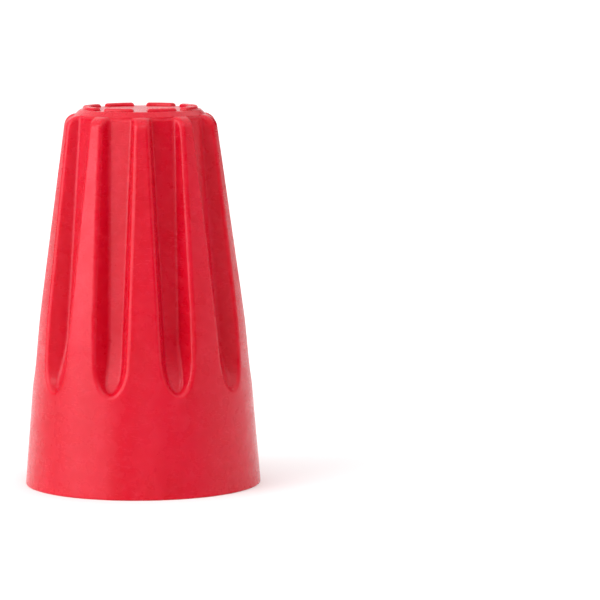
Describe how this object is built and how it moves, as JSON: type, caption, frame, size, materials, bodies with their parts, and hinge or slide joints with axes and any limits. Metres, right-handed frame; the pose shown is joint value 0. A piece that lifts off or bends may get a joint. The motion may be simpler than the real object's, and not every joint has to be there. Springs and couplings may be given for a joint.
{
  "type": "twist-on wire connector",
  "caption": "Tapered moulded cap with a ribbed grip, a flared skirt and a square-wire spring inside, which twists onto bared wire ends.",
  "frame": {"origin": "centre of the mouth's rim, on the plane that the connector stands on", "axes": "+Z along the cap's axis, from the mouth to the closed end; -Y is the front, where one rib's middle lies"},
  "size_m": [0.0174, 0.0174, 0.0281],
  "materials": {
    "shell": "red moulded thermoplastic, semi-gloss",
    "spring": "bright drawn steel wire"
  },
  "bodies": {
    "root": {"shell": "shell", "spring": "spring"}
  },
  "joints": []
}
